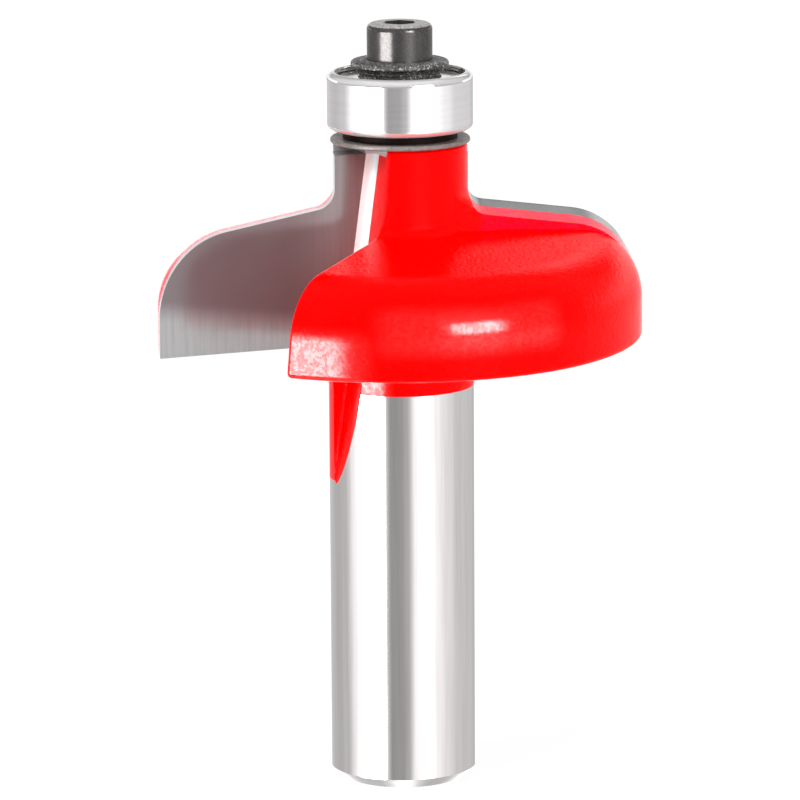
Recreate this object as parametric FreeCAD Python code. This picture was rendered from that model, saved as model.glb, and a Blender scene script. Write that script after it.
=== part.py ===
# Two-flute profile router bit with a ball bearing pilot on its tip.
# The bit stands on the end of its shank: the origin is the centre of that end face
# and +Z runs up the axis to the pilot. Both cutting faces lie in the plane y = 0.
# Flute 1 cuts at +X and its body trails clockwise, seen from the tip; flute 2 is the
# same turned half a turn. All lengths are in millimetres and all angles in degrees.
import FreeCAD, Part
import os
from math import atan2, cos, degrees, hypot, pi, radians, sin, tan

# Shank and hub
shank_d = 12.7
shank_end_inset = 1.15
shank_end_height = 0.95
neck_inset = 0.55
neck_top_chamfer = 0.25

# Coat of paint, which ends on the shank below the wings
coat_t = 0.06
coat_fade_h = 0.6
coat_below_wing = 3.85

# Cutting profile, as swept by the edges when the bit turns
cutting_d = 44.45
wing_bottom_z = 38.85
head_height = 17.42
straight_height = 3.4
bead_r = 7.25
slope_deg = 9.0
cove_r = 1.75
edge_neck_stand = 0.3
flute_count = 2

# Carbide tips and the land ground with them
carbide_t = 2.4
carbide_top_drop = 0.9
clearance_deg = 18.0
axial_clearance_deg = 6.5
land_depth = 5.0

# Relief of the wing behind the land, where it starts from the land's own clearance
relief_gain = 1.15
relief_full_deg = 60.0
relief_step_deg = 10.0
wing_sweep_deg = 152.0
body_cove_r = 1.2
bottom_edge_r = 0.5
heel_edge_r = 0.4

# Chip gullet in front of each cutting face
root_half_width = 2.3
root_tilt_deg = 8.0
ledge_w = 0.88
root_fillet = 0.4
gullet_floor_w = 3.77
gullet_wall_deg = 38.7
gullet_fillet = 1.3

# Pilot bearing, a shielded 3/16 x 1/2 x 0.196 inch miniature
bearing_bore = 4.7625
bearing_od = 12.7
bearing_w = 4.978
bearing_edge_r = 0.6
bore_edge_r = 0.2
ball_ratio = 0.6
ball_count = 7
ball_play = 0.012
groove_ratio = 0.54
shoulder_ratio = 0.365
seat_ratio = 0.175
shield_t = 0.25
shield_recess = 0.15
shield_gap = 0.12
snap_wire_d = 0.32
snap_wire_opening_deg = 34.0
shield_fit = 0.02
cage_t = 0.2
cage_play = 0.05
cage_ratio = 0.36
cage_seam = 0.02

# Pieces that hold the bearing
arbor_fit = 0.01
arbor_below_ring = 0.18
arbor_chamfer = 0.25
guard_inset = 0.3
guard_t = 0.4
guard_edge_chamfer = 0.1
disc_fit = 0.03
spacer_inset = 1.1
spacer_t = 0.72
spacer_boss_inset = 0.28
spacer_boss_h = 0.15
clamp_ring_overhang = 0.3
clamp_ring_t = 0.42
washer_overhang = 0.45
washer_t = 0.65
washer_edge_r = 0.22

# Cap screw in the arbor
screw_d = 3.0
screw_length = 8.0
screw_tip_chamfer = 0.35
screw_fit = 0.02
hole_past_screw = 1.2
drill_point_deg = 118.0
head_d = 5.68
head_h = 3.15
head_edge_r = 0.55
hex_across = 2.5
hex_depth = 1.4
hex_corner_deg = -112.0

# How far a cutting tool runs past the face it cuts, and the smallest length told apart
past = 1.0
tiny = 1e-4

V = FreeCAD.Vector
origin = V(0, 0, 0)
up = V(0, 0, 1)


def rz(radius, z, azimuth=0.0):
    """Point at a radius and height, in the half plane at an azimuth."""
    a = radians(azimuth)
    return V(radius * cos(a), radius * sin(a), z)


def line(a, b):
    return Part.LineSegment(a, b).toShape()


def arc(a, middle, b):
    return Part.Arc(a, middle, b).toShape()


def turned(points):
    """Solid turned about the axis from a closed outline of (radius, height) corners."""
    outline = [V(r, 0, z) for r, z in points]
    return Part.Face(Part.makePolygon(outline + outline[:1])).revolve(origin, up, 360)


def circles(shape, radius, z):
    """Edges of a turned solid that are circles of one radius at one height."""
    found = []
    for edge in shape.Edges:
        if edge.Curve.TypeId == "Part::GeomCircle":
            same_r = abs(edge.Curve.Radius - radius) < tiny
            same_z = abs(edge.Curve.Center.z - z) < tiny
            if same_r and same_z:
                found.append(edge)
    return found


def ring(outer_r, inner_r, z0, z1):
    return turned([(inner_r, z0), (outer_r, z0), (outer_r, z1), (inner_r, z1)])


def around(shape, count, start=0.0):
    """Copies of a shape spread evenly about the axis."""
    copies = []
    for k in range(count):
        copy = shape.copy()
        copy.rotate(origin, up, start + 360.0 * k / count)
        copies.append(copy)
    return copies


# Radii and heights that follow from the sizes above
shank_r = shank_d / 2
neck_r = shank_r - neck_inset
edge_neck_r = neck_r + edge_neck_stand
cutting_r = cutting_d / 2
coat_line_z = wing_bottom_z - coat_below_wing
neck_top_z = wing_bottom_z + head_height
carbide_top_z = neck_top_z - carbide_top_drop
bead_z = wing_bottom_z + straight_height
guard_z = neck_top_z
spacer_z = guard_z + guard_t
bearing_z = spacer_z + spacer_t
bearing_mid_z = bearing_z + bearing_w / 2
bearing_top_z = bearing_z + bearing_w
clamp_ring_z = bearing_top_z
washer_z = clamp_ring_z + clamp_ring_t
head_z = washer_z + washer_t
arbor_r = bearing_bore / 2 - arbor_fit
arbor_top_z = bearing_top_z - arbor_below_ring
pitch_r = (bearing_bore + bearing_od) / 4
ball_d = ball_ratio * (bearing_od - bearing_bore) / 2
inner_shoulder_r = pitch_r - shoulder_ratio * ball_d
outer_shoulder_r = pitch_r + shoulder_ratio * ball_d
shield_seat_r = outer_shoulder_r + seat_ratio * ball_d
land_end_r = hypot(cutting_r - land_depth * tan(radians(clearance_deg)), land_depth)
relief_start = cutting_r - land_end_r
relief_full = relief_start + relief_gain
guard_r = bearing_od / 2 - guard_inset
spacer_r = guard_r - spacer_inset
spacer_boss_r = inner_shoulder_r - spacer_boss_inset
clamp_ring_r = inner_shoulder_r + clamp_ring_overhang
washer_r = clamp_ring_r + washer_overhang


def profile_edges(relief, throat_r, cove, azimuth=0.0):
    """Edges of the moulding profile from the rim up to the throat, set in by a relief."""
    slope = radians(slope_deg)
    bead_c = cutting_r - bead_r
    inset_r = bead_r - relief
    rim = rz(cutting_r - relief, bead_z, azimuth)
    half = radians(45 - slope_deg / 2)
    bead_mid = rz(bead_c + inset_r * cos(half), bead_z + inset_r * sin(half), azimuth)
    bead_end = rz(bead_c + inset_r * sin(slope), bead_z + inset_r * cos(slope), azimuth)
    cove_c = throat_r + cove
    cove_z = bead_z + (inset_r + cove) / cos(slope) + (bead_c - cove_c) * tan(slope)
    cove_start = rz(cove_c - cove * sin(slope), cove_z - cove * cos(slope), azimuth)
    cove_mid = rz(cove_c - cove * cos(half), cove_z - cove * sin(half), azimuth)
    cove_end = rz(throat_r, cove_z, azimuth)
    edges = [arc(rim, bead_mid, bead_end), line(bead_end, cove_start),
             arc(cove_start, cove_mid, cove_end)]
    return edges, rim, cove_end, cove_z


def wing_section(relief, azimuth):
    """Closed section of a wing in the half plane at an azimuth."""
    core_r = neck_r / 2
    edges, rim, throat, throat_z = profile_edges(relief, neck_r, body_cove_r, azimuth)
    rim_r = cutting_r - relief
    inset = bottom_edge_r * (1 - cos(radians(45)))
    foot = rz(core_r, wing_bottom_z, azimuth)
    toe = rz(rim_r - bottom_edge_r, wing_bottom_z, azimuth)
    toe_mid = rz(rim_r - inset, wing_bottom_z + inset, azimuth)
    rim_low = rz(rim_r, wing_bottom_z + bottom_edge_r, azimuth)
    head = rz(core_r, throat_z, azimuth)
    lower = [line(foot, toe), arc(toe, toe_mid, rim_low), line(rim_low, rim)]
    return Part.Wire(lower + edges + [line(throat, head), line(head, foot)])


def ground_prism(depth, throat_r):
    """The cutting profile swept back from the cutting face at the clearance angles."""
    edges, rim, throat, throat_z = profile_edges(0.0, throat_r, cove_r)
    drop = depth * tan(radians(axial_clearance_deg))
    below = wing_bottom_z - past
    top = neck_top_z + drop
    corners = [V(throat_r, 0, top), V(0, 0, top), V(0, 0, below), V(cutting_r, 0, below), rim]
    sides = [line(throat, corners[0])]
    for a, b in zip(corners, corners[1:]):
        sides.append(line(a, b))
    back = V(-depth * tan(radians(clearance_deg)), -depth, -drop)
    return Part.Face(Part.Wire(edges + sides)).extrude(back)


def root_x(z):
    """Distance of the gullet floor from the axis, measured along the cutting face."""
    return root_half_width + (carbide_top_z - z) * tan(radians(root_tilt_deg))


def carbide_tip():
    """Flat plate under the whole cutting profile, with its clearance ground on."""
    inner_top = V(root_x(carbide_top_z) + ledge_w, 0, carbide_top_z)
    inner_low = V(root_x(wing_bottom_z) + ledge_w, 0, wing_bottom_z)
    outer_low = V(cutting_d, 0, wing_bottom_z)
    outer_top = V(cutting_d, 0, carbide_top_z)
    outline = [inner_top, inner_low, outer_low, outer_top, inner_top]
    block = Part.Face(Part.makePolygon(outline)).extrude(V(0, -carbide_t, 0))
    return block.common(ground_prism(2 * carbide_t, edge_neck_r))


def carbide_slot():
    """The pocket of a carbide tip, milled open through the top of the neck."""
    inner_x = root_x(carbide_top_z) + ledge_w
    opening = Part.makeBox(cutting_r, carbide_t, neck_top_z + past - carbide_top_z,
                           V(inner_x, -carbide_t, carbide_top_z))
    return carbide_tip().fuse(opening)


def wing():
    """One wing with its land and relief, before the gullets are cut."""
    land_deg = degrees(atan2(land_depth, cutting_r - land_depth * tan(radians(clearance_deg))))
    stations = [land_deg / 3, land_deg]
    while stations[-1] + 1.5 * relief_step_deg < relief_full_deg:
        stations.append(stations[-1] + relief_step_deg)
    stations.append(relief_full_deg)
    sections = []
    for station in stations:
        share = max(station - land_deg, 0.0) / (relief_full_deg - land_deg)
        relief = relief_start + (relief_full - relief_start) * sin(share * pi / 2)
        sections.append(wing_section(relief, -station))
    ramp = Part.makeLoft(sections, True, False)
    tail_face = Part.Face(wing_section(relief_full, -relief_full_deg))
    tail = tail_face.revolve(origin, up, relief_full_deg - wing_sweep_deg)
    edges, rim, throat, throat_z = profile_edges(0.0, neck_r, cove_r)
    foot = [V(neck_r, 0, throat_z), V(0, 0, throat_z), V(0, 0, wing_bottom_z),
            V(cutting_r, 0, wing_bottom_z), rim]
    sides = [line(a, b) for a, b in zip(foot, foot[1:])]
    swept = Part.Face(Part.Wire(edges + sides)).revolve(origin, up, -90)
    land = ground_prism(land_depth, edge_neck_r).common(swept)
    return land.fuse([ramp, tail]).removeSplitter()


def gullet():
    """The tool path that opens one gullet: face, tilted floor and flared heel wall."""
    top_x = root_x(neck_top_z)
    run_out = (shank_r - top_x) / tan(radians(root_tilt_deg)) + past
    flare = cutting_d * tan(radians(gullet_wall_deg))
    outline = [V(top_x, 0, neck_top_z), V(top_x + cutting_d, 0, neck_top_z),
               V(top_x + cutting_d, gullet_floor_w + flare, neck_top_z),
               V(top_x, gullet_floor_w, neck_top_z)]
    run = V(root_x(neck_top_z - run_out) - top_x, 0, -run_out)
    path = Part.Face(Part.makePolygon(outline + outline[:1])).extrude(run)
    for y, radius in ((0.0, root_fillet), (gullet_floor_w, gullet_fillet)):
        middle = V(top_x, y, neck_top_z) + run / 2
        corner = [e for e in path.Edges if e.CenterOfMass.distanceToPoint(middle) < tiny]
        path = path.makeFillet(radius, corner)
    return path


def heel_edges(body):
    """Edges round the flat heel wall of each wing, up to the chamfer of the neck's top."""
    along = V(tan(radians(root_tilt_deg)), 0, -1)
    outwards = V(1, tan(radians(gullet_wall_deg)), 0)
    facing = along.cross(outwards).normalize()
    found = []
    for k in range(flute_count):
        way = FreeCAD.Rotation(up, 360.0 * k / flute_count).multVec(facing)
        flats = [f for f in body.Faces if f.Surface.TypeId == "Part::GeomPlane"]
        for wall in flats:
            if abs(wall.Surface.Axis.dot(way)) > 1 - tiny:
                for edge in wall.Edges:
                    box = edge.BoundBox
                    at_top = box.ZMin > neck_top_z - neck_top_chamfer - tiny
                    gullet_side = box.ZMin < wing_bottom_z + tiny and box.ZMax > neck_top_z - tiny
                    if not at_top and not gullet_side:
                        found.append(edge)
    return found


def bit_body():
    """Shank, hub, wings and arbor in one piece of steel, with the coat's edge on the shank."""
    coated_r = shank_r + coat_t
    hub = turned([(0, 0), (shank_r - shank_end_inset, 0), (shank_r, shank_end_height),
                  (shank_r, coat_line_z), (coated_r, coat_line_z + coat_fade_h),
                  (coated_r, wing_bottom_z + bead_r), (neck_r, wing_bottom_z + bead_r),
                  (neck_r, neck_top_z - neck_top_chamfer),
                  (neck_r - neck_top_chamfer, neck_top_z), (arbor_r, neck_top_z),
                  (arbor_r, arbor_top_z - arbor_chamfer),
                  (arbor_r - arbor_chamfer, arbor_top_z), (0, arbor_top_z)])
    body = hub.fuse(around(wing(), flute_count)).removeSplitter()
    body = body.cut(around(gullet(), flute_count))
    body = body.makeFillet(heel_edge_r, heel_edges(body))
    body = body.cut(around(carbide_slot(), flute_count))
    hole_r = screw_d / 2 + screw_fit
    hole_z = head_z - screw_length - hole_past_screw
    cone_h = hole_r / tan(radians(drill_point_deg / 2))
    hole = turned([(0, hole_z - cone_h), (hole_r, hole_z), (hole_r, arbor_top_z + past),
                   (0, arbor_top_z + past)])
    return body.cut(hole)


def outer_ring():
    """Outer race with its ball groove, shield seats and snap wire grooves."""
    od_r = bearing_od / 2
    seat_depth = shield_recess + snap_wire_d + shield_t
    body = ring(od_r, outer_shoulder_r, bearing_z, bearing_top_z)
    body = body.makeFillet(bearing_edge_r, circles(body, od_r, bearing_z)
                           + circles(body, od_r, bearing_top_z))
    seats = [ring(shield_seat_r, pitch_r, bearing_z - past, bearing_z + seat_depth),
             ring(shield_seat_r, pitch_r, bearing_top_z - seat_depth, bearing_top_z + past)]
    groove = Part.makeTorus(pitch_r + ball_play - ball_d * (groove_ratio - 0.5),
                            ball_d * groove_ratio, V(0, 0, bearing_mid_z))
    wire_r = snap_wire_d / 2
    for z in wire_heights():
        seats.append(ring(shield_seat_r + wire_r, pitch_r, z - wire_r, z + wire_r))
    return body.cut(seats + [groove])


def wire_heights():
    offset = shield_recess + snap_wire_d / 2
    return bearing_z + offset, bearing_top_z - offset


def inner_ring():
    """Inner race that the screw clamps on the arbor."""
    bore_r = bearing_bore / 2
    body = ring(inner_shoulder_r, bore_r, bearing_z, bearing_top_z)
    body = body.makeFillet(bore_edge_r, circles(body, bore_r, bearing_z)
                           + circles(body, bore_r, bearing_top_z))
    groove = Part.makeTorus(pitch_r - ball_play + ball_d * (groove_ratio - 0.5),
                            ball_d * groove_ratio, V(0, 0, bearing_mid_z))
    return body.cut(groove)


def ball(k):
    return Part.makeSphere(ball_d / 2, rz(pitch_r, bearing_mid_z, 360.0 * k / ball_count))


def cage_half(side):
    """Pressed ribbon half of the ball cage, with a cup over each ball."""
    pocket_r = ball_d / 2 + cage_play
    inner_r = pitch_r - cage_ratio * ball_d / 2
    outer_r = pitch_r + cage_ratio * ball_d / 2
    z0 = bearing_mid_z + side * cage_seam / 2
    z1 = z0 + side * cage_t
    z2 = z0 + side * (pocket_r + cage_t)
    strip = ring(outer_r, inner_r, min(z0, z1), max(z0, z1))
    band = ring(outer_r, inner_r, min(z0, z2), max(z0, z2))
    centre = V(pitch_r, 0, bearing_mid_z)
    shells = around(Part.makeSphere(pocket_r + cage_t, centre), ball_count)
    pockets = around(Part.makeSphere(pocket_r, centre), ball_count)
    cups = band.common(shells[0].fuse(shells[1:]))
    return strip.fuse(cups).cut(pockets).removeSplitter()


def shield(side):
    """Thin pressed shield that closes one side of the bearing."""
    outside = bearing_mid_z + side * (bearing_w / 2 - shield_recess - snap_wire_d)
    inside = outside - side * shield_t
    return ring(shield_seat_r - shield_fit, inner_shoulder_r + shield_gap,
                min(inside, outside), max(inside, outside))


def snap_wire(z):
    """Open ring of round wire that holds a shield in its seat."""
    wire_r = snap_wire_d / 2
    loop_r = shield_seat_r - shield_fit
    section = Part.Wire(Part.makeCircle(wire_r, V(loop_r, 0, z), V(0, 1, 0)))
    return Part.Face(section).revolve(origin, up, 360 - snap_wire_opening_deg)


def guard_disc():
    flat_r = guard_r - guard_edge_chamfer
    bore_r = arbor_r + disc_fit
    return turned([(bore_r, guard_z), (flat_r, guard_z), (guard_r, guard_z + guard_edge_chamfer),
                   (guard_r, spacer_z - guard_edge_chamfer), (flat_r, spacer_z),
                   (bore_r, spacer_z)])


def spacer():
    """Black spacer whose low boss carries the inner ring alone."""
    shelf_z = bearing_z - spacer_boss_h
    bore_r = arbor_r + disc_fit
    return turned([(bore_r, spacer_z), (spacer_r, spacer_z), (spacer_r, shelf_z),
                   (spacer_boss_r, shelf_z), (spacer_boss_r, bearing_z), (bore_r, bearing_z)])


def clamp_ring():
    return ring(clamp_ring_r, screw_d / 2 + disc_fit, clamp_ring_z, washer_z)


def flange_washer():
    disc = ring(washer_r, screw_d / 2 + disc_fit, washer_z, head_z)
    return disc.makeFillet(washer_edge_r, circles(disc, washer_r, washer_z)
                           + circles(disc, washer_r, head_z))


def cap_screw():
    """Socket head cap screw, its thread drawn at the outside diameter."""
    top_z = head_z + head_h
    tip_z = head_z - screw_length
    core_r = screw_d / 2
    body = turned([(0, tip_z), (core_r - screw_tip_chamfer, tip_z),
                   (core_r, tip_z + screw_tip_chamfer), (core_r, head_z),
                   (head_d / 2, head_z), (head_d / 2, top_z), (0, top_z)])
    body = body.makeFillet(head_edge_r, circles(body, head_d / 2, top_z))
    corner_r = hex_across / 2 / cos(radians(30))
    corners = [rz(corner_r, top_z - hex_depth, hex_corner_deg + 60 * k) for k in range(7)]
    socket = Part.Face(Part.makePolygon(corners)).extrude(V(0, 0, hex_depth + past))
    drill_h = hex_across / 2 / tan(radians(drill_point_deg / 2))
    drill = Part.makeCone(0, hex_across / 2, drill_h, V(0, 0, top_z - hex_depth - drill_h))
    return body.cut([socket, drill])


def all_parts():
    parts = {"bit_body": bit_body()}
    for k, tip in enumerate(around(carbide_tip(), flute_count)):
        parts[f"carbide_tip_{k + 1}"] = tip
    parts["guard_disc"] = guard_disc()
    parts["spacer_ring"] = spacer()
    parts["bearing_outer_ring"] = outer_ring()
    parts["bearing_inner_ring"] = inner_ring()
    for k in range(ball_count):
        parts[f"ball_{k + 1}"] = ball(k)
    low_wire_z, high_wire_z = wire_heights()
    for name, side, wire_z in (("lower", -1, low_wire_z), ("upper", 1, high_wire_z)):
        parts[f"cage_{name}"] = cage_half(side)
        parts[f"shield_{name}"] = shield(side)
        parts[f"snap_wire_{name}"] = snap_wire(wire_z)
    parts["clamp_ring"] = clamp_ring()
    parts["flange_washer"] = flange_washer()
    parts["cap_screw"] = cap_screw()
    return parts


if __name__ == "__main__":
    os.makedirs("parts", exist_ok=True)
    for name, shape in all_parts().items():
        shape.exportStep(f"parts/{name}.step")
        box = shape.BoundBox
        print(f"{name:20s} {shape.ShapeType:9s} solids {len(shape.Solids)} valid {shape.isValid()}"
              f" volume {shape.Volume:9.3f} z {box.ZMin:7.3f} to {box.ZMax:7.3f}"
              f" r {max(abs(box.XMin), abs(box.XMax)):7.3f}")
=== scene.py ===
import bpy
from math import cos, pi, radians, sin
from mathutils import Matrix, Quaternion, Vector


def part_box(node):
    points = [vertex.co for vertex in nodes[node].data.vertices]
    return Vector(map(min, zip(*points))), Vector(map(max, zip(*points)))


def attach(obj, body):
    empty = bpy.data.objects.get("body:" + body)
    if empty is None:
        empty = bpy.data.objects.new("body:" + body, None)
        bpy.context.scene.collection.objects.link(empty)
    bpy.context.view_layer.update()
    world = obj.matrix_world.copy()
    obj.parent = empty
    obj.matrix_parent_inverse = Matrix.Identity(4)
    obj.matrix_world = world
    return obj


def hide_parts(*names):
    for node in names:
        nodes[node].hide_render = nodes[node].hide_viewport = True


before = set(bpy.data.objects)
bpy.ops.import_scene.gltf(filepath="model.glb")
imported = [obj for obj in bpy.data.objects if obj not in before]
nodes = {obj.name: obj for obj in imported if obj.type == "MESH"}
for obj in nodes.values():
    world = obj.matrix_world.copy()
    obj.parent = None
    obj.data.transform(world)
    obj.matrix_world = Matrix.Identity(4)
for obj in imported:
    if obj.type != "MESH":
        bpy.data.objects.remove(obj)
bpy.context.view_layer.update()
mm = 0.001
scene = bpy.context.scene
scene.view_settings.view_transform = "Standard"
print("frame loaded:", len(nodes), "pieces")

# camera, at the photograph's angle
cameraSetup = {
    "lens": 258.4,
    "distance": 0.5,
    "azimuth": -22.0,
    "elevation": 11.4,
    "lean": -0.33,
    "aimHeight": 33.47 * mm,
    "aimSide": -0.141 * mm,
    "nearest": 0.02,
    "farthest": 20,
}


def direction(azimuth, elevation):
    a, e = radians(azimuth), radians(elevation)
    return Vector((sin(a) * cos(e), -cos(a) * cos(e), sin(e)))


def addCamera(v):
    back = direction(v["azimuth"], v["elevation"])
    side = direction(v["azimuth"] + 90, 0)
    aim = Vector((0, 0, v["aimHeight"])) + side * v["aimSide"]
    bpy.ops.object.camera_add(location=aim + back * v["distance"])
    camera = bpy.context.object
    turn = (-back).to_track_quat("-Z", "Y") @ Quaternion((0, 0, 1), radians(v["lean"]))
    camera.rotation_mode = "QUATERNION"
    camera.rotation_quaternion = turn
    camera.data.lens = v["lens"]
    camera.data.clip_start = v["nearest"]
    camera.data.clip_end = v["farthest"]
    scene.camera = camera


addCamera(cameraSetup)


# small helpers for node trees
def newMaterial(name):
    mat = bpy.data.materials.new(name)
    mat.use_nodes = True
    return mat, mat.node_tree, mat.node_tree.nodes["Principled BSDF"]


def feed(tree, value, socket):
    if isinstance(value, bpy.types.NodeSocket):
        tree.links.new(value, socket)
    else:
        socket.default_value = value


def calc(tree, operation, a, b=0.0, c=0.0):
    node = tree.nodes.new("ShaderNodeMath")
    node.operation = operation
    for value, socket in zip((a, b, c), node.inputs):
        feed(tree, value, socket)
    return node.outputs[0]


def times(tree, *shares):
    result = shares[0]
    for share in shares[1:]:
        result = calc(tree, "MULTIPLY", result, share)
    return result


def plus(tree, *parts):
    result = parts[0]
    for part in parts[1:]:
        result = calc(tree, "ADD", result, part)
    return result


def absolute(tree, value):
    return calc(tree, "ABSOLUTE", value)


def ramp(tree, value, low, high, outLow=0.0, outHigh=1.0):
    node = tree.nodes.new("ShaderNodeMapRange")
    node.interpolation_type = "SMOOTHSTEP"
    feed(tree, value, node.inputs["Value"])
    node.inputs["From Min"].default_value = low
    node.inputs["From Max"].default_value = high
    feed(tree, outLow, node.inputs["To Min"])
    feed(tree, outHigh, node.inputs["To Max"])
    return node.outputs["Result"]


def fadeIn(tree, value, at, fade):           # 0 below the place given, 1 above it
    return ramp(tree, value, at - fade / 2, at + fade / 2)


def fadeOut(tree, value, at, fade):          # 1 below the place given, 0 above it
    return ramp(tree, value, at - fade / 2, at + fade / 2, 1.0, 0.0)


def objectPlace(tree):
    return tree.nodes.new("ShaderNodeTexCoord").outputs["Object"]


def coordinates(tree):
    split = tree.nodes.new("ShaderNodeSeparateXYZ")
    tree.links.new(objectPlace(tree), split.inputs[0])
    return split.outputs


def fromAxis(tree, x, y):
    return calc(tree, "SQRT", plus(tree, times(tree, x, x), times(tree, y, y)))


def angle(tree, rise, run):                  # in degrees
    return times(tree, calc(tree, "ARCTAN2", rise, run), 180 / pi)


def halfTurns(tree, degrees):                # the same angle, between -180 and 180
    return calc(tree, "WRAP", degrees, 180.0, -180.0)


def awayFrom(tree, degrees, at):             # how far an angle is from the one given, either way
    return absolute(tree, halfTurns(tree, calc(tree, "SUBTRACT", degrees, at)))


def mixShaders(tree, share, a, b):
    mix = tree.nodes.new("ShaderNodeMixShader")
    tree.links.new(share, mix.inputs["Fac"])
    tree.links.new(a.outputs[0], mix.inputs[1])
    tree.links.new(b.outputs[0], mix.inputs[2])
    return mix.outputs[0]


def seenDirectly(tree):                      # 1 for what the camera sees, also mirrored or through glass
    path = tree.nodes.new("ShaderNodeLightPath").outputs
    either = calc(tree, "MAXIMUM", path["Is Camera Ray"], path["Is Glossy Ray"])
    return calc(tree, "MAXIMUM", either, path["Is Transmission Ray"])


# studio: a white world, a pale floor and soft lamps
white = (1, 1, 1, 1)
studio = {
    "fill": 0.55,          # light that comes from all round
    "floorSize": 3.0,
    "floorTone": (0.9, 0.9, 0.9, 1),
    "floorRough": 0.9,
    "floorLift": 0.85,     # share of plain white in what the camera sees of the floor
    "middle": 45 * mm,     # height that the lamps and the room are centred on
}
lamps = {
    "keyLamp": {"azimuth": -52, "elevation": 42, "distance": 0.8, "size": 0.5, "power": 5.8},
    "fillLamp": {"azimuth": 38, "elevation": 30, "distance": 0.9, "size": 0.6, "power": 4.6},
    "backLamp": {"azimuth": 160, "elevation": 45, "distance": 0.9, "size": 0.6, "power": 3.2},
}


def addWorld(v):
    world = bpy.data.worlds.new("whiteStudio")
    scene.world = world
    world.use_nodes = True
    tree = world.node_tree
    light = tree.nodes["Background"]
    light.inputs["Color"].default_value = white
    light.inputs["Strength"].default_value = v["fill"]
    plain = tree.nodes.new("ShaderNodeBackground")
    plain.inputs["Color"].default_value = white
    plain.inputs["Strength"].default_value = 1.0
    seen = mixShaders(tree, seenDirectly(tree), light, plain)
    tree.links.new(seen, tree.nodes["World Output"].inputs["Surface"])


def addFloor(v):
    bpy.ops.object.select_all(action="DESELECT")
    bpy.ops.mesh.primitive_plane_add(size=v["floorSize"])
    floor = bpy.context.object
    floor.name = "floor"
    mat, tree, matt = newMaterial("paleFloor")
    matt.inputs["Base Color"].default_value = v["floorTone"]
    matt.inputs["Roughness"].default_value = v["floorRough"]
    plain = tree.nodes.new("ShaderNodeEmission")
    plain.inputs["Color"].default_value = white
    seen = mixShaders(tree, times(tree, seenDirectly(tree), v["floorLift"]), matt, plain)
    tree.links.new(seen, tree.nodes["Material Output"].inputs["Surface"])
    floor.data.materials.append(mat)
    floor.visible_glossy = False             # steel mirrors the studio below the bit, as in the photograph


def addLamp(name, v):
    offset = direction(cameraSetup["azimuth"] + v["azimuth"], v["elevation"]) * v["distance"]
    bpy.ops.object.light_add(type="AREA", location=offset + Vector((0, 0, studio["middle"])))
    lamp = bpy.context.object
    lamp.name = name
    lamp.rotation_mode = "QUATERNION"
    lamp.rotation_quaternion = offset.to_track_quat("Z", "Y")
    lamp.data.shape = "DISK"
    lamp.data.size = v["size"]
    lamp.data.energy = v["power"]
    lamp.visible_camera = False
    lamp.visible_glossy = False


addWorld(studio)
addFloor(studio)
for name, v in lamps.items():
    addLamp(name, v)

# a room that only gloss sees: its walls' light by azimuth, counted from the camera's to the right
room = {
    "radius": 0.62,
    "segments": 64,
    "rings": 32,
    "tone": (1, 0.985, 0.99, 1),
    "brightest": 4.0,      # level that the walls' ramp writes as 1
    "walls": {-180: 1.8, -160: 0.65, -122: 0.54, -100: 0.62, -74: 1.3, -33: 1.3, -17: 0.38, -2: 0.4, 8: 0.52,
              22: 1.3, 31: 2.2, 46: 2.2, 54: 1.25, 78: 0.95, 98: 0.72, 135: 0.68, 158: 0.55, 180: 1.8},
    "wallTop": 0.0,        # elevation, seen from the bit
    "wallFade": 9.0,
    "above": 0.01,         # light everywhere, also above the walls
    "frontAbove": {"to": 138, "fade": 26, "strength": 0.5},
    "overhead": {"from": 54, "fade": 14, "strength": 0.3},
}
softboxes = {
    "leftSoftbox": {"middle": -50, "width": 41, "low": -25, "high": -3, "edge": 9, "strength": 20},
    "rightSoftbox": {"middle": 38, "width": 25, "low": 4, "high": 22, "edge": 8, "strength": 22},
    "backdrop": {"middle": 180, "width": 130, "low": 1, "high": 12.5, "edge": 4, "strength": 1.1},
    "backStrip": {"middle": 165, "width": 18, "low": 20, "high": 33, "edge": 5, "strength": 1.5},
}


def wallLight(tree, azimuth, v):
    node = tree.nodes.new("ShaderNodeValToRGB")
    node.color_ramp.interpolation = "EASE"
    stops = node.color_ramp.elements
    for at, level in v["walls"].items():
        stop = stops[0] if at == -180 else stops[-1] if at == 180 else stops.new((at + 180) / 360)
        stop.color = (*[level / v["brightest"]] * 3, 1)
    feed(tree, calc(tree, "DIVIDE", plus(tree, azimuth, 180), 360), node.inputs[0])
    return times(tree, node.outputs["Color"], v["brightest"])


def roomLight(tree, v, boxes):
    x, y, z = coordinates(tree)
    azimuth = calc(tree, "SUBTRACT", angle(tree, x, times(tree, y, -1.0)), cameraSetup["azimuth"])
    azimuth = halfTurns(tree, azimuth)
    elevation = angle(tree, z, fromAxis(tree, x, y))
    low = fadeOut(tree, elevation, v["wallTop"], v["wallFade"])
    front = v["frontAbove"]
    inFront = fadeOut(tree, absolute(tree, azimuth), front["to"], front["fade"])
    overhead = fadeIn(tree, elevation, v["overhead"]["from"], v["overhead"]["fade"])
    lights = [
        times(tree, low, wallLight(tree, azimuth, v)),
        times(tree, inFront, calc(tree, "SUBTRACT", 1.0, low), front["strength"]),
        v["above"],
        times(tree, overhead, v["overhead"]["strength"]),
    ]
    for box in boxes.values():
        beside = fadeOut(tree, awayFrom(tree, azimuth, box["middle"]), box["width"] / 2, box["edge"])
        below = fadeOut(tree, elevation, box["high"], box["edge"])
        over = fadeIn(tree, elevation, box["low"], box["edge"])
        lights.append(times(tree, beside, below, over, box["strength"]))
    return plus(tree, *lights)


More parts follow.
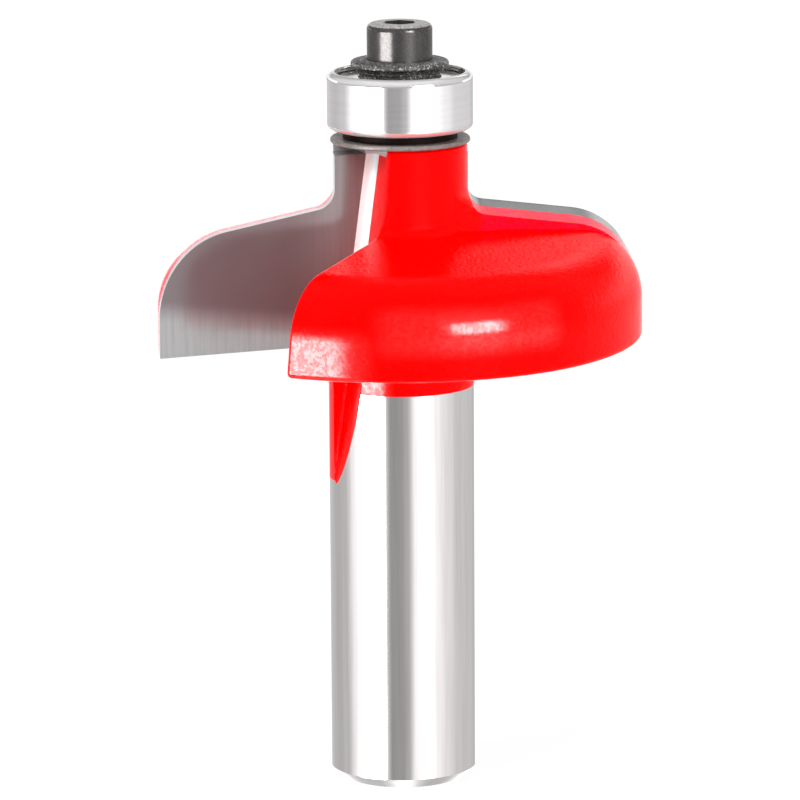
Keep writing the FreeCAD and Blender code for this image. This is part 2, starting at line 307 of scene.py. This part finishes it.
def addRoom(v, boxes):
    bpy.ops.object.select_all(action="DESELECT")
    bpy.ops.mesh.primitive_uv_sphere_add(segments=v["segments"], ring_count=v["rings"], radius=v["radius"],
                                         location=(0, 0, studio["middle"]))
    walls = bpy.context.object
    walls.name = "whiteRoom"
    mat, tree, shader = newMaterial("roomLight")
    tree.nodes.remove(shader)
    glow = tree.nodes.new("ShaderNodeEmission")
    glow.inputs["Color"].default_value = v["tone"]
    feed(tree, roomLight(tree, v, boxes), glow.inputs["Strength"])
    tree.links.new(glow.outputs[0], tree.nodes["Material Output"].inputs["Surface"])
    walls.data.materials.append(mat)
    walls.visible_camera = False
    walls.visible_diffuse = False
    walls.visible_shadow = False
    walls.visible_transmission = False


addRoom(room, softboxes)
print("studio ready")


def blendTones(tree, share, a, b):
    node = tree.nodes.new("ShaderNodeMix")
    node.data_type = "RGBA"
    feed(tree, share, node.inputs["Factor"])
    feed(tree, a, node.inputs["A"])
    feed(tree, b, node.inputs["B"])
    return node.outputs["Result"]


def noise(tree, spot, scale, detail, rough=0.5):
    node = tree.nodes.new("ShaderNodeTexNoise")
    tree.links.new(spot, node.inputs["Vector"])
    feed(tree, scale, node.inputs["Scale"])
    node.inputs["Detail"].default_value = detail
    node.inputs["Roughness"].default_value = rough
    return node.outputs["Fac"]


def bump(tree, height, depth):
    node = tree.nodes.new("ShaderNodeBump")
    tree.links.new(height, node.inputs["Height"])
    node.inputs["Distance"].default_value = depth
    return node.outputs["Normal"]


# two node groups that the finishes share, and the values between which most of each noise lies
linesSpan = (0.35, 0.68)
mottleSpan = (0.35, 0.65)
grainSpan = (0.3, 0.7)
grindNoise = {"detail": 5.0, "rough": 0.65}
mottleNoise = {"scale": 420.0, "detail": 4.0}
grainNoise = {"detail": 3.0}


def newGroup(name, inputs, outputs):
    tree = bpy.data.node_groups.new(name, "ShaderNodeTree")
    for label, value in inputs.items():
        kind = "NodeSocketVector" if isinstance(value, tuple) else "NodeSocketFloat"
        tree.interface.new_socket(name=label, in_out="INPUT", socket_type=kind).default_value = value
    for label in outputs:
        tree.interface.new_socket(name=label, in_out="OUTPUT", socket_type="NodeSocketFloat")
    return tree, tree.nodes.new("NodeGroupInput").outputs, tree.nodes.new("NodeGroupOutput").inputs


def useGroup(tree, group, values):
    node = tree.nodes.new("ShaderNodeGroup")
    node.node_tree = group
    for label, value in values.items():
        feed(tree, value, node.inputs[label])
    return node.outputs


def makeMarksGroup():                        # fine lines of a grinding wheel, long along one way
    usual = {"Stretch": (1.0, 1.0, 1.0), "Scale": 300.0}
    tree, given, out = newGroup("grindMarks", usual, ["Lines", "Mottle"])
    spot = objectPlace(tree)
    mapping = tree.nodes.new("ShaderNodeMapping")
    tree.links.new(spot, mapping.inputs["Vector"])
    tree.links.new(given["Stretch"], mapping.inputs["Scale"])
    tree.links.new(noise(tree, mapping.outputs[0], given["Scale"], **grindNoise), out["Lines"])
    tree.links.new(noise(tree, spot, **mottleNoise), out["Mottle"])
    return tree


def makeSpeckleGroup():                      # grain of a rough or sprayed surface
    usual = {"Scale": 3000.0, "Low": 0.5, "High": 0.7}
    tree, given, out = newGroup("speckle", usual, ["Grain", "Spots"])
    grain = noise(tree, objectPlace(tree), given["Scale"], **grainNoise)
    spots = tree.nodes.new("ShaderNodeMapRange")
    tree.links.new(grain, spots.inputs["Value"])
    tree.links.new(given["Low"], spots.inputs["From Min"])
    tree.links.new(given["High"], spots.inputs["From Max"])
    tree.links.new(grain, out["Grain"])
    tree.links.new(spots.outputs["Result"], out["Spots"])
    return tree


marks = makeMarksGroup()
speckle = makeSpeckleGroup()


def behindFace(tree, x, y):                  # distance behind the cutting face, the same for both wings
    return times(tree, calc(tree, "SIGN", x), y, -1.0)


# red coat, worn off where the carbide is ground
coatLook = {
    "red": (0.93, 0.0003, 0.0001, 1),
    "rough": (0.085, 0.185),
    "dustSpan": (0.3, 0.75),
    "ior": 1.15,
    "tint": (1.0, 0.4, 0.5, 1),
    "peel": {"scale": 2800.0, "detail": 3.0, "rough": 0.6},
    "peelDepth": 0.065 * mm,
    "grain": {"Scale": 2600.0, "Low": 0.4, "High": 0.62},
}
bareSteel = {
    "tone": (0.88, 1.0, 1.0, 1),
    "slotTone": (0.6, 0.585, 0.59, 1),
    "rough": 0.5,
    "fade": 0.06 * mm,
    "ledge": 0.85 * mm,            # half width of the bright strip beside the carbide
    "wingBottom": 38.85 * mm,
    "bottomFade": 0.04 * mm,
    "slotFrom": 55.35 * mm,        # open pocket above the carbide
    "slotSide": 2.47 * mm,
}
groundLand = {                     # coat rubbed thin behind the edge
    "tone": (0.8, 0.003, 0.07, 1),
    "from": 2.4 * mm,
    "fromFade": 0.2 * mm,
    "to": 5.0 * mm,
    "toFade": 0.1 * mm,
    "inner": 5.5 * mm,
    "innerFade": 1.0 * mm,
}

# thicker, glossier film on the heel and the bead of each wing, by degrees round the axis
film = {
    "spots": {
        "heel": {"at": -138.0, "width": 34.0, "low": 30 * mm, "high": 42.9 * mm},
        "bead": {"at": -94.0, "width": 46.0, "low": 41.5 * mm, "high": 44.8 * mm},
    },
    "sideFade": 8.0,
    "lowFade": 2.0 * mm,
    "highFade": 1.6 * mm,
    "least": 0.55,                 # share of the film that the grainy spots keep
    "grit": {"Scale": 2800.0, "Low": 0.42, "High": 0.58},
    "rough": 0.13,
    "ior": 1.5,
}


def filmShare(tree, x, y, z, v):
    around = angle(tree, y, x)
    share = 0.0
    for spot in v["spots"].values():
        above = fadeIn(tree, z, spot["low"], v["lowFade"])
        upright = times(tree, above, fadeOut(tree, z, spot["high"], v["highFade"]))
        for turned in (0, 180):              # the same on both wings
            off = awayFrom(tree, around, spot["at"] + turned)
            part = times(tree, fadeOut(tree, off, spot["width"] / 2, v["sideFade"]), upright)
            share = calc(tree, "MAXIMUM", share, part)
    grit = useGroup(tree, speckle, v["grit"])
    return times(tree, share, ramp(tree, grit["Spots"], 0.0, 1.0, v["least"], 1.0))


def makeCoat(v, steel, land):
    mat, tree, shader = newMaterial("redCoat")
    x, y, z = coordinates(tree)
    side = absolute(tree, y)
    strip = times(tree, fadeIn(tree, z, steel["wingBottom"], steel["bottomFade"]),
                  fadeOut(tree, side, steel["ledge"], steel["fade"]))
    slot = times(tree, fadeIn(tree, z, steel["slotFrom"], steel["fade"]),
                 fadeOut(tree, side, steel["slotSide"], steel["fade"]))
    bare = calc(tree, "MAXIMUM", strip, slot)
    behind = behindFace(tree, x, y)
    rubbed = times(tree, fadeIn(tree, behind, land["from"], land["fromFade"]),
                   fadeOut(tree, behind, land["to"], land["toFade"]),
                   fadeIn(tree, absolute(tree, x), land["inner"], land["innerFade"]))
    grain = useGroup(tree, speckle, v["grain"])
    paint = blendTones(tree, times(tree, grain["Spots"], rubbed), v["red"], land["tone"])
    metal = blendTones(tree, slot, steel["tone"], steel["slotTone"])
    tree.links.new(blendTones(tree, bare, paint, metal), shader.inputs["Base Color"])
    dust = ramp(tree, grain["Grain"], *v["dustSpan"], *v["rough"])
    tree.links.new(ramp(tree, bare, 0.0, 1.0, dust, steel["rough"]), shader.inputs["Roughness"])
    peel = noise(tree, objectPlace(tree), **v["peel"])
    tree.links.new(bump(tree, peel, v["peelDepth"]), shader.inputs["Normal"])
    tree.links.new(filmShare(tree, x, y, z, film), shader.inputs["Coat Weight"])
    shader.inputs["Coat Roughness"].default_value = film["rough"]
    shader.inputs["Coat IOR"].default_value = film["ior"]
    shader.inputs["IOR"].default_value = v["ior"]
    shader.inputs["Specular Tint"].default_value = v["tint"]
    return mat


# ground, polished and pressed steels, and the carbide
steelLooks = {
    "groundShank": {
        "tone": (0.78, 0.765, 0.76, 1), "dark": (0.72, 0.695, 0.69, 1),
        "rough": (0.05, 0.07), "metal": 1.0, "ior": 1.15,
        "lines": {"Stretch": (1.0, 1.0, 0.03), "Scale": 2400.0}, "depth": 0.0004 * mm,
        "paint": {"tone": coatLook["red"], "end": 26.8 * mm, "endFade": 0.2 * mm, "edge": -0.25 * mm,
                  "edgeFade": 0.1 * mm, "width": 2.25 * mm, "widthFade": 0.15 * mm, "out": 3.1 * mm,
                  "outFade": 0.2 * mm}},
    "polishedRing": {
        "tone": (0.93, 0.92, 0.925, 1), "dark": (0.89, 0.875, 0.88, 1),
        "rough": (0.05, 0.07), "metal": 1.0, "ior": 1.1,
        "lines": {"Stretch": (0.03, 0.03, 1.0), "Scale": 3000.0}, "depth": 0.0001 * mm,
        "rim": {"tone": (0.68, 0.67, 0.67, 1), "width": 0.6 * mm, "fade": 0.3 * mm, "rough": 0.12,
                "metal": 0.6}},
    "groundCarbide": {
        "tone": (0.26, 0.268, 0.269, 1), "dark": (0.22, 0.228, 0.229, 1),
        "rough": (0.15, 0.19), "metal": 0.33, "ior": 1.2,
        "lines": {"Stretch": (1.0, 1.0, 0.05), "Scale": 2600.0}, "depth": 0.0003 * mm,
        # painted reflection: the upper cutting face is tinted warm and dark, standing in for the red wall it
        # mirrors
        "heat": {"tone": (0.135, 0.115, 0.12, 1), "from": 39.9 * mm, "fade": 2.2 * mm, "slope": 0.14,
                 "face": 0.2 * mm, "faceFade": 0.1 * mm, "neck": 5 * mm, "wing": 11 * mm,
                 "neckShare": 0.4}},
    "pressedShield": {
        "tone": (0.9, 0.88, 0.85, 1), "dark": (0.8, 0.78, 0.74, 1),
        "rough": (0.1, 0.16), "metal": 1.0, "ior": 1.5,
        "lines": {"Stretch": (1.0, 1.0, 1.0), "Scale": 1800.0}, "depth": 0.001 * mm},
    "springWire": {
        "tone": (0.34, 0.33, 0.32, 1), "dark": (0.24, 0.23, 0.22, 1),
        "rough": (0.2, 0.3), "metal": 1.0, "ior": 1.5,
        "lines": {"Stretch": (1.0, 1.0, 1.0), "Scale": 2500.0}, "depth": 0.001 * mm},
}


def heatShare(tree, x, y, z, v):             # painted reflection of the red wing wall on the cutting face, warm and darker above a sloping line
    outward = absolute(tree, x)
    height = calc(tree, "SUBTRACT", z, times(tree, outward, v["slope"]))
    return times(tree, fadeIn(tree, height, v["from"], v["fade"]),
                 fadeOut(tree, absolute(tree, y), v["face"], v["faceFade"]),
                 ramp(tree, outward, v["neck"], v["wing"], v["neckShare"], 1.0))


def rimShare(tree, z, v):                    # the bearing's tumbled rims, softer than its ground face
    low, high = (corner[2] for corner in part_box("bearing_outer_ring"))
    inner = (high - low) / 2 - v["width"]
    off = absolute(tree, calc(tree, "SUBTRACT", z, (low + high) / 2))
    return ramp(tree, off, inner, inner + v["fade"])


def paintShare(tree, x, y, z, v):            # the coat also covers the shank beside each run-out
    behind = behindFace(tree, x, y)
    return times(tree, fadeIn(tree, z, v["end"], v["endFade"]),
                 fadeIn(tree, behind, v["edge"], v["edgeFade"]),
                 fadeOut(tree, behind, v["width"], v["widthFade"]),
                 fadeIn(tree, absolute(tree, x), v["out"], v["outFade"]))


def makeSteel(name, v):
    mat, tree, shader = newMaterial(name)
    x, y, z = coordinates(tree)
    drawn = useGroup(tree, marks, v["lines"])
    tone = blendTones(tree, ramp(tree, drawn["Lines"], *linesSpan), v["tone"], v["dark"])
    rough = ramp(tree, drawn["Mottle"], *mottleSpan, *v["rough"])
    metal = v["metal"]
    # painted reflection of the red wing wall on the carbide's cutting face
    if "heat" in v:
        tone = blendTones(tree, heatShare(tree, x, y, z, v["heat"]), tone, v["heat"]["tone"])
    if "rim" in v:
        rim = rimShare(tree, z, v["rim"])
        tone = blendTones(tree, rim, tone, v["rim"]["tone"])
        rough = plus(tree, rough, times(tree, rim, v["rim"]["rough"]))
        metal = ramp(tree, rim, 0.0, 1.0, metal, v["rim"]["metal"])
    if "paint" in v:
        painted = paintShare(tree, x, y, z, v["paint"])
        tone = blendTones(tree, painted, tone, v["paint"]["tone"])
        metal = ramp(tree, painted, 0.0, 1.0, metal, 0.0)
    tree.links.new(tone, shader.inputs["Base Color"])
    tree.links.new(rough, shader.inputs["Roughness"])
    feed(tree, metal, shader.inputs["Metallic"])
    tree.links.new(bump(tree, drawn["Lines"], v["depth"]), shader.inputs["Normal"])
    shader.inputs["IOR"].default_value = v["ior"]
    return mat


# dark finishes: black oxide, plain on the spacer and rough on the washers, and dull zinc on the disc
darkLooks = {
    "blackRing": {
        "tone": (0.014, 0.007, 0.006, 1), "dark": (0.009, 0.005, 0.004, 1),
        "rough": (0.42, 0.49), "ior": 1.12,
        "grain": {"Scale": 4000.0, "Low": 0.42, "High": 0.6}, "depth": 0.0003 * mm},
    "blackWasher": {
        "tone": (0.075, 0.071, 0.069, 1), "dark": (0.018, 0.017, 0.016, 1),
        "rough": (0.37, 0.44), "ior": 1.45,
        "grain": {"Scale": 4600.0, "Low": 0.42, "High": 0.6}, "depth": 0.01 * mm,
        "spark": {"tone": (0.5, 0.48, 0.47, 1), "grain": {"Scale": 5980.0, "Low": 0.57, "High": 0.65}}},
    "zincDisc": {
        "tone": (0.19, 0.172, 0.162, 1), "dark": (0.13, 0.117, 0.108, 1),
        "rough": (0.32, 0.39), "ior": 1.4,
        "grain": {"Scale": 2800.0, "Low": 0.42, "High": 0.6}, "depth": 0.001 * mm},
}


def makeDark(name, v):
    mat, tree, shader = newMaterial(name)
    grain = useGroup(tree, speckle, v["grain"])
    tone = blendTones(tree, grain["Spots"], v["tone"], v["dark"])
    if "spark" in v:                         # rare bright grains
        sparks = useGroup(tree, speckle, v["spark"]["grain"])
        tone = blendTones(tree, sparks["Spots"], tone, v["spark"]["tone"])
    tree.links.new(tone, shader.inputs["Base Color"])
    tree.links.new(ramp(tree, grain["Grain"], *grainSpan, *v["rough"]), shader.inputs["Roughness"])
    tree.links.new(bump(tree, grain["Grain"], v["depth"]), shader.inputs["Normal"])
    shader.inputs["IOR"].default_value = v["ior"]
    return mat


# satin black screw, lighter on the top of its head: worn bright on the rim, and a painted highlight of the
# light from above
screwLook = {
    "tone": (0.09, 0.086, 0.085, 1),
    "dark": (0.065, 0.062, 0.061, 1),
    "rough": 0.2,
    "metal": 0.6,
    "ior": 1.17,
    "grain": {"Scale": 5000.0, "Low": 0.4, "High": 0.62},
    "depth": 0.0012 * mm,
    # lighter top of the head: wear, and a painted highlight of the light from above
    "wearAndHighlight": {"tone": (0.38, 0.365, 0.36, 1), "rough": 0.38, "metal": 0.1, "deep": 0.2 * mm,
             "deepFade": 0.08 * mm, "inner": 1.47 * mm, "innerFade": 0.06 * mm, "grain": 0.55},
}


def wearAndHighlightShare(tree, x, y, z, grain, v):
    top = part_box("cap_screw")[1][2]
    return times(tree, fadeIn(tree, z, top - v["deep"], v["deepFade"]),
                 fadeIn(tree, fromAxis(tree, x, y), v["inner"], v["innerFade"]),
                 calc(tree, "SUBTRACT", 1.0, times(tree, grain["Spots"], v["grain"])))


def makeScrew(v):
    mat, tree, shader = newMaterial("blackScrew")
    x, y, z = coordinates(tree)
    wearAndHighlight = v["wearAndHighlight"]
    grain = useGroup(tree, speckle, v["grain"])
    # lighter top face of the head: wear, and a painted highlight
    rim = wearAndHighlightShare(tree, x, y, z, grain, wearAndHighlight)
    tone = blendTones(tree, grain["Spots"], v["tone"], v["dark"])
    tree.links.new(blendTones(tree, rim, tone, wearAndHighlight["tone"]), shader.inputs["Base Color"])
    tree.links.new(ramp(tree, rim, 0.0, 1.0, v["metal"], wearAndHighlight["metal"]), shader.inputs["Metallic"])
    tree.links.new(ramp(tree, rim, 0.0, 1.0, v["rough"], wearAndHighlight["rough"]), shader.inputs["Roughness"])
    tree.links.new(bump(tree, grain["Grain"], v["depth"]), shader.inputs["Normal"])
    shader.inputs["IOR"].default_value = v["ior"]
    return mat


coat = makeCoat(coatLook, bareSteel, groundLand)
steels = {name: makeSteel(name, v) for name, v in steelLooks.items()}
darks = {name: makeDark(name, v) for name, v in darkLooks.items()}
screwFinish = makeScrew(screwLook)
print("materials ready")

finishes = {
    "carbide_tip_1": steels["groundCarbide"],
    "carbide_tip_2": steels["groundCarbide"],
    "guard_disc": darks["zincDisc"],
    "spacer_ring": darks["blackRing"],
    "bearing_outer_ring": steels["polishedRing"],
    "bearing_inner_ring": darks["blackWasher"],
    "cage_lower": steels["pressedShield"],
    "cage_upper": steels["pressedShield"],
    "shield_lower": steels["pressedShield"],
    "shield_upper": steels["pressedShield"],
    "snap_wire_lower": steels["springWire"],
    "snap_wire_upper": steels["springWire"],
    "clamp_ring": darks["blackWasher"],
    "flange_washer": darks["blackWasher"],
    "cap_screw": screwFinish,
}
for name, node in nodes.items():
    if name in finishes:
        node.data.materials[0] = finishes[name]
    elif name.startswith("ball"):
        node.data.materials[0] = steels["polishedRing"]

# the body has two finishes: the coat, and bare steel on the shank and the arbor
bodySplit = {
    "runOutEnd": 25 * mm,
    "coatLine": 35.0 * mm,
    "neckTop": 56.2 * mm,
    "arborR": 2.6 * mm,
    "upright": 0.02,       # a face of the shank's own round: its normal's rise is less than this
    "outward": 0.995,      # and its normal points away from the axis by more than this
}


def dressBody(node, v):
    mesh = node.data
    mesh.materials[0] = coat
    mesh.materials.append(steels["groundShank"])
    for face in mesh.polygons:
        height = face.center.z
        away = Vector((face.center.x, face.center.y, 0)).normalized()
        onRound = abs(face.normal.z) < v["upright"] and face.normal.dot(away) > v["outward"]
        onShank = height < v["runOutEnd"] or (onRound and height < v["coatLine"])
        onArbor = height > v["neckTop"] or (face.center.xy.length < v["arborR"] and height > v["coatLine"])
        if onShank or onArbor:
            face.material_index = 1


dressBody(nodes["bit_body"], bodySplit)
print("pieces dressed")

# washers under the screw head, turned and rough with black oxide: steps are shares of height and radius
washers = {
    "roughFlange": {"replaces": "flange_washer", "sides": 128, "grit": 0.035 * mm, "grain": 0.22 * mm,
                    "steps": [(0.0, 0.93), (0.12, 0.985), (0.3, 1.0), (0.52, 1.0), (0.78, 0.985),
                              (1.0, 0.93)]},
    "groovedRing": {"replaces": "clamp_ring", "sides": 128, "grit": 0.03 * mm, "grain": 0.2 * mm,
                    "steps": [(0.0, 0.97), (0.14, 1.0), (0.34, 1.0), (0.46, 0.955), (0.6, 0.955), (0.7, 1.0),
                              (0.88, 1.0), (1.0, 0.97)]},
}
roundingLevels = 2


def pickFaces(piece, wanted):                # leaves edit mode on, with only the wanted faces selected
    bpy.ops.object.mode_set(mode="OBJECT")
    mesh = piece.data
    for part in (mesh.vertices, mesh.edges, mesh.polygons):
        part.foreach_set("select", [False] * len(part))
    for face in mesh.polygons:
        face.select = wanted(face)
    bpy.ops.object.mode_set(mode="EDIT")
    bpy.ops.mesh.select_mode(type="FACE")


def turnWasher(v, height):                   # the turned outline, step by step
    at, share = v["steps"][0]
    for nextAt, nextShare in v["steps"][1:]:
        rise = (nextAt - at) * height
        bpy.ops.mesh.extrude_region_move(TRANSFORM_OT_translate={"value": (0, 0, rise)})
        wider = nextShare / share
        bpy.ops.transform.resize(value=(wider, wider, 1), center_override=(0, 0, 0))
        at, share = nextAt, nextShare


def boreWasher(ring, v, width):              # the two flat ends inset to the bore and joined through it
    pickFaces(ring, lambda face: len(face.vertices) == v["sides"])
    bpy.ops.mesh.inset(thickness=width, depth=0)
    pickFaces(ring, lambda face: len(face.vertices) == v["sides"])
    bpy.ops.mesh.bridge_edge_loops()
    bpy.ops.mesh.select_all(action="SELECT")
    bpy.ops.mesh.normals_make_consistent(inside=False)
    bpy.ops.object.mode_set(mode="OBJECT")


def roughenWasher(ring, v):
    rounding = ring.modifiers.new("rounding", "SUBSURF")
    rounding.levels = rounding.render_levels = roundingLevels
    grit = ring.modifiers.new("grit", "DISPLACE")
    grit.texture = bpy.data.textures.new(ring.name + "Grit", "CLOUDS")
    grit.texture.noise_scale = v["grain"]
    grit.texture_coords = "LOCAL"
    grit.strength = v["grit"]
    for modifier in (rounding.name, grit.name):
        bpy.ops.object.modifier_apply(modifier=modifier)
    bpy.ops.object.shade_smooth()


def addWasher(name, v):
    low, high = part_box(v["replaces"])
    outer, height = (high[0] - low[0]) / 2, high[2] - low[2]
    bore = min(vert.co.xy.length for vert in nodes[v["replaces"]].data.vertices)
    end = outer * v["steps"][0][1]
    bpy.ops.object.select_all(action="DESELECT")
    bpy.ops.mesh.primitive_circle_add(vertices=v["sides"], radius=end, fill_type="NGON",
                                      location=(0, 0, low[2]))
    ring = bpy.context.object
    ring.name = name
    bpy.ops.object.transform_apply(location=True, rotation=True, scale=True)
    bpy.ops.object.mode_set(mode="EDIT")
    bpy.ops.mesh.select_all(action="SELECT")
    turnWasher(v, height)
    boreWasher(ring, v, end - bore)
    roughenWasher(ring, v)
    ring.data.materials.append(darks["blackWasher"])
    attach(ring, "bit")
    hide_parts(v["replaces"])


for name, v in washers.items():
    addWasher(name, v)
print("washers ready")
